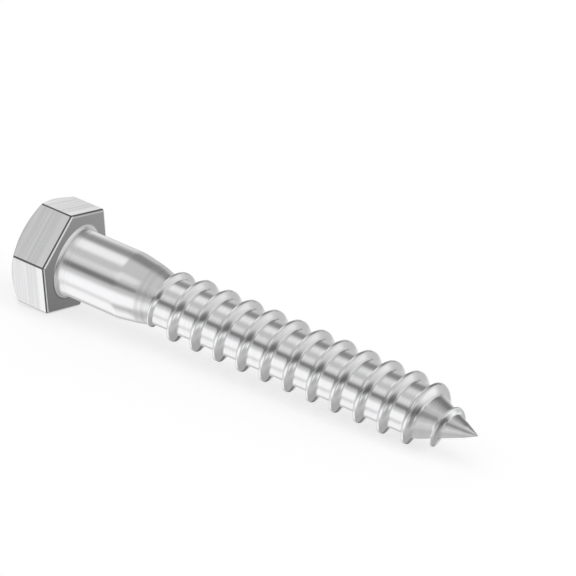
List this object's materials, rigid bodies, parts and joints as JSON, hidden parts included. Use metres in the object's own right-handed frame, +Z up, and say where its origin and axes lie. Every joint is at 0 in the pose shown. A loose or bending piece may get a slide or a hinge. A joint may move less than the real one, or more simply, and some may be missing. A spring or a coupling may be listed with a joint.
{
  "type": "coach screw",
  "caption": "Coach screw with a hexagon head, plain shank, coarse wood thread and sharp point, driven into timber with a spanner or socket.",
  "frame": {"origin": "centre of the bearing face, the flat underside of the head, on the screw's axis", "axes": "+X runs from the head to the point, with the screw's own axis tipped 2.49 degrees down from it; +Z is up as the screw lies on a flat floor; Y is level and square to both"},
  "size_m": [0.069, 0.0162, 0.0143],
  "materials": {
    "steel": "bright, finely brushed"
  },
  "bodies": {
    "root": {"coach_screw": "steel"}
  },
  "joints": []
}
